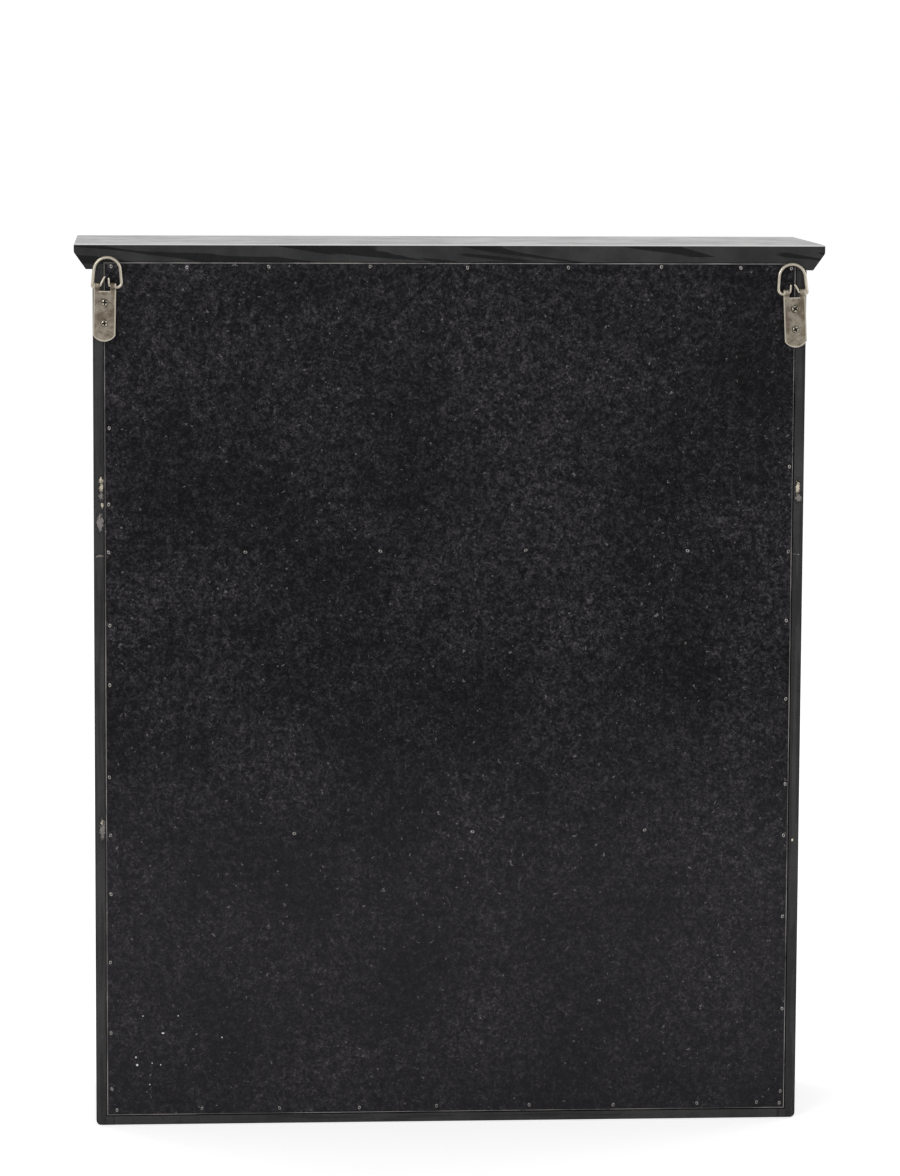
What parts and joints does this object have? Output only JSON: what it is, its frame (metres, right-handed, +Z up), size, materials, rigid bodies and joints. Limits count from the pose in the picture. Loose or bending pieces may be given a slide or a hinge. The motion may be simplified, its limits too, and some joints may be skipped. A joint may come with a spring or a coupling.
{
  "type": "medicine cabinet",
  "caption": "Black wall-hung bathroom cabinet with a moulded top board, an inset mirror door on butt hinges, fixed shelves, a hardboard back and strap hangers with swinging rings.",
  "frame": {"origin": "the point on the wall midway between the two hanging rings, level with where a hook bears in them, on the plane of the cabinet's back", "axes": "+X to the right as seen from the front, +Y from the door into the wall, +Z up"},
  "size_m": [0.61, 0.1902, 0.725],
  "materials": {
    "black_lacquer": "gloss black lacquer on moulded wood board, with small chips and filler at the rear edges",
    "dark_hardboard": "matt mottled black hardboard with a scuffed raw edge",
    "aged_nickel": "warm aged plating, satin, with brighter worn rims",
    "dark_steel": "darkened steel with bright worn edges",
    "satin_nickel": "satin plated",
    "silvered_glass": "clear mirror, polished bevel",
    "grey_backing": "matt grey board",
    "black_plastic": "fine matt",
    "dark_ferrite": "matt sintered",
    "clear_rubber": "soft satin",
    "beech": "bare wood"
  },
  "bodies": {
    "cabinet": {"back_panel": "dark_hardboard", "bottom_panel": "black_lacquer", "catch_housing": "black_plastic", "catch_magnet": "dark_ferrite", "catch_screw_lower": "dark_steel", "catch_screw_upper": "dark_steel", "door_stop_bottom": "black_lacquer", "door_stop_top": "black_lacquer", "dowel_bottom_left_front": "beech", "dowel_bottom_left_rear": "beech", "dowel_bottom_right_front": "beech", "dowel_bottom_right_rear": "beech", "dowel_top_left_front": "beech", "dowel_top_left_rear": "beech", "dowel_top_right_front": "beech", "dowel_top_right_rear": "beech", "hanger_screw_left_lower": "dark_steel", "hanger_screw_left_upper": "dark_steel", "hanger_screw_right_lower": "dark_steel", "hanger_screw_right_upper": "dark_steel", "hanger_strap_left": "aged_nickel", "hanger_strap_right": "aged_nickel", "hinge_lower_leaf_cabinet": "satin_nickel", "hinge_lower_pin": "satin_nickel", "hinge_lower_screw_cabinet_lower": "dark_steel", "hinge_lower_screw_cabinet_upper": "dark_steel", "hinge_upper_leaf_cabinet": "satin_nickel", "hinge_upper_pin": "satin_nickel", "hinge_upper_screw_cabinet_lower": "dark_steel", "hinge_upper_screw_cabinet_upper": "dark_steel", "shelf_lower": "black_lacquer", "shelf_upper": "black_lacquer", "side_panel_left": "black_lacquer", "side_panel_right": "black_lacquer", "top_board": "black_lacquer"},
    "door": {"bead_bottom": "black_lacquer", "bead_hinge": "black_lacquer", "bead_latch": "black_lacquer", "bead_top": "black_lacquer", "catch_strike": "satin_nickel", "catch_strike_screw": "dark_steel", "door_bumper_lower": "clear_rubber", "door_bumper_upper": "clear_rubber", "door_rail_bottom": "black_lacquer", "door_rail_top": "black_lacquer", "door_stile_hinge": "black_lacquer", "door_stile_latch": "black_lacquer", "hinge_lower_leaf_door": "satin_nickel", "hinge_lower_screw_door_lower": "dark_steel", "hinge_lower_screw_door_upper": "dark_steel", "hinge_upper_leaf_door": "satin_nickel", "hinge_upper_screw_door_lower": "dark_steel", "hinge_upper_screw_door_upper": "dark_steel", "knob": "satin_nickel", "knob_screw": "dark_steel", "mirror_backing": "grey_backing", "mirror_glass": "silvered_glass"},
    "ring_left": {"hanger_ring_left": "aged_nickel"},
    "ring_right": {"hanger_ring_right": "aged_nickel"}
  },
  "joints": [
    {"name": "door_hinge", "type": "hinge", "parent": "cabinet", "child": "door", "pos_m": [-0.274, -0.1623, -0.35], "axis": [0, 0, -1], "range_deg": [0, 170]},
    {"name": "ring_right_pivot", "type": "hinge", "parent": "cabinet", "child": "ring_right", "pos_m": [0.28, 0.00285, -0.0185], "axis": [-0.9998, 0, -0.0192], "range_deg": [0, 160]},
    {"name": "ring_left_pivot", "type": "hinge", "parent": "cabinet", "child": "ring_left", "pos_m": [-0.2798, 0.00285, -0.023], "axis": [-0.999, 0, 0.0454], "range_deg": [0, 160]}
  ]
}
